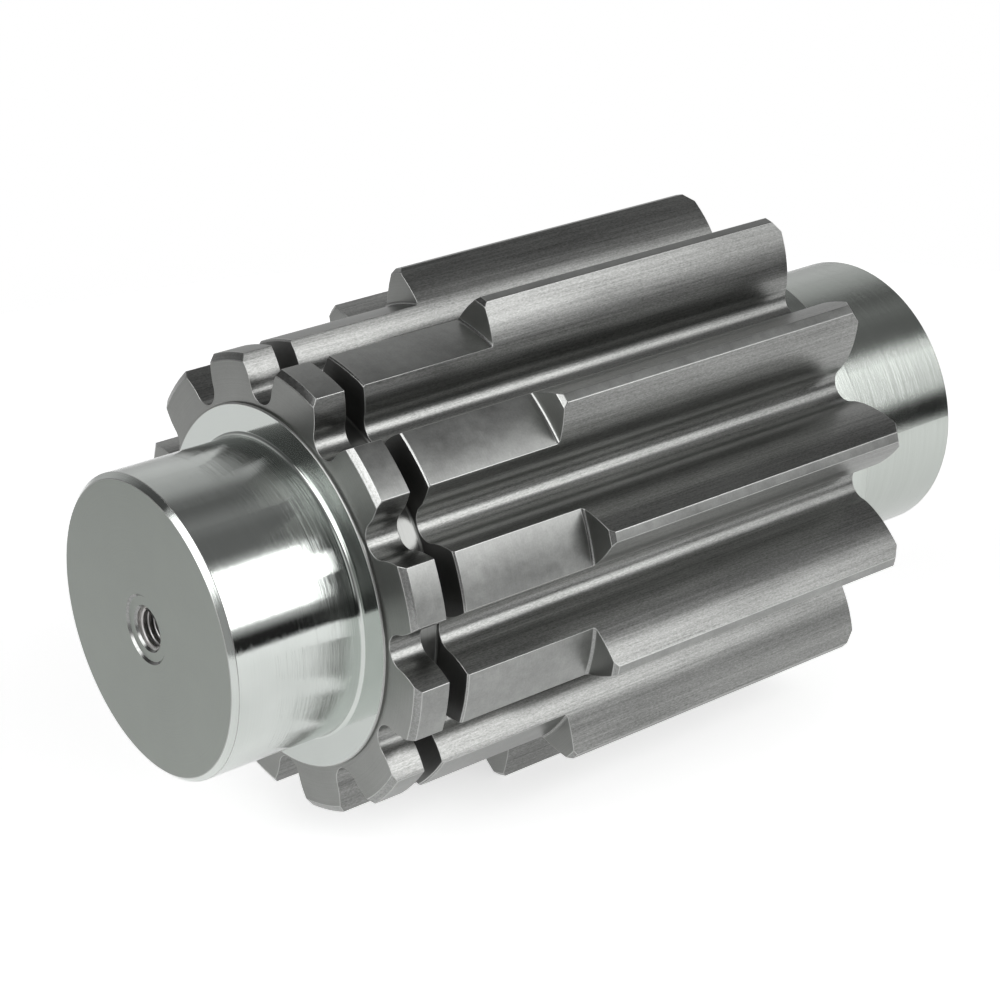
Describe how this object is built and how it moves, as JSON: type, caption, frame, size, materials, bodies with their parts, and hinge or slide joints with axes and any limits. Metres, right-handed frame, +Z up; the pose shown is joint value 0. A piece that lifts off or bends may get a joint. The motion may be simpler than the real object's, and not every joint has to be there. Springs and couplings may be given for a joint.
{
  "type": "pinion gear",
  "caption": "One-piece steel pinion shaft with involute teeth, a lowered front length behind a grooved toothed ring, and a ground journal at each end.",
  "frame": {"origin": "on the shaft's axis, halfway along its length", "axes": "+X along the shaft from the grooved front end to the rear, +Z up, with a tooth space facing straight down so that the shaft lies on two tooth tips"},
  "size_m": [0.263, 0.1456, 0.1456],
  "materials": {
    "machined_steel": "hobbed teeth, turned faces and ground journals, bare and lightly oiled"
  },
  "bodies": {
    "root": {"pinion_shaft": "machined_steel"}
  },
  "joints": []
}
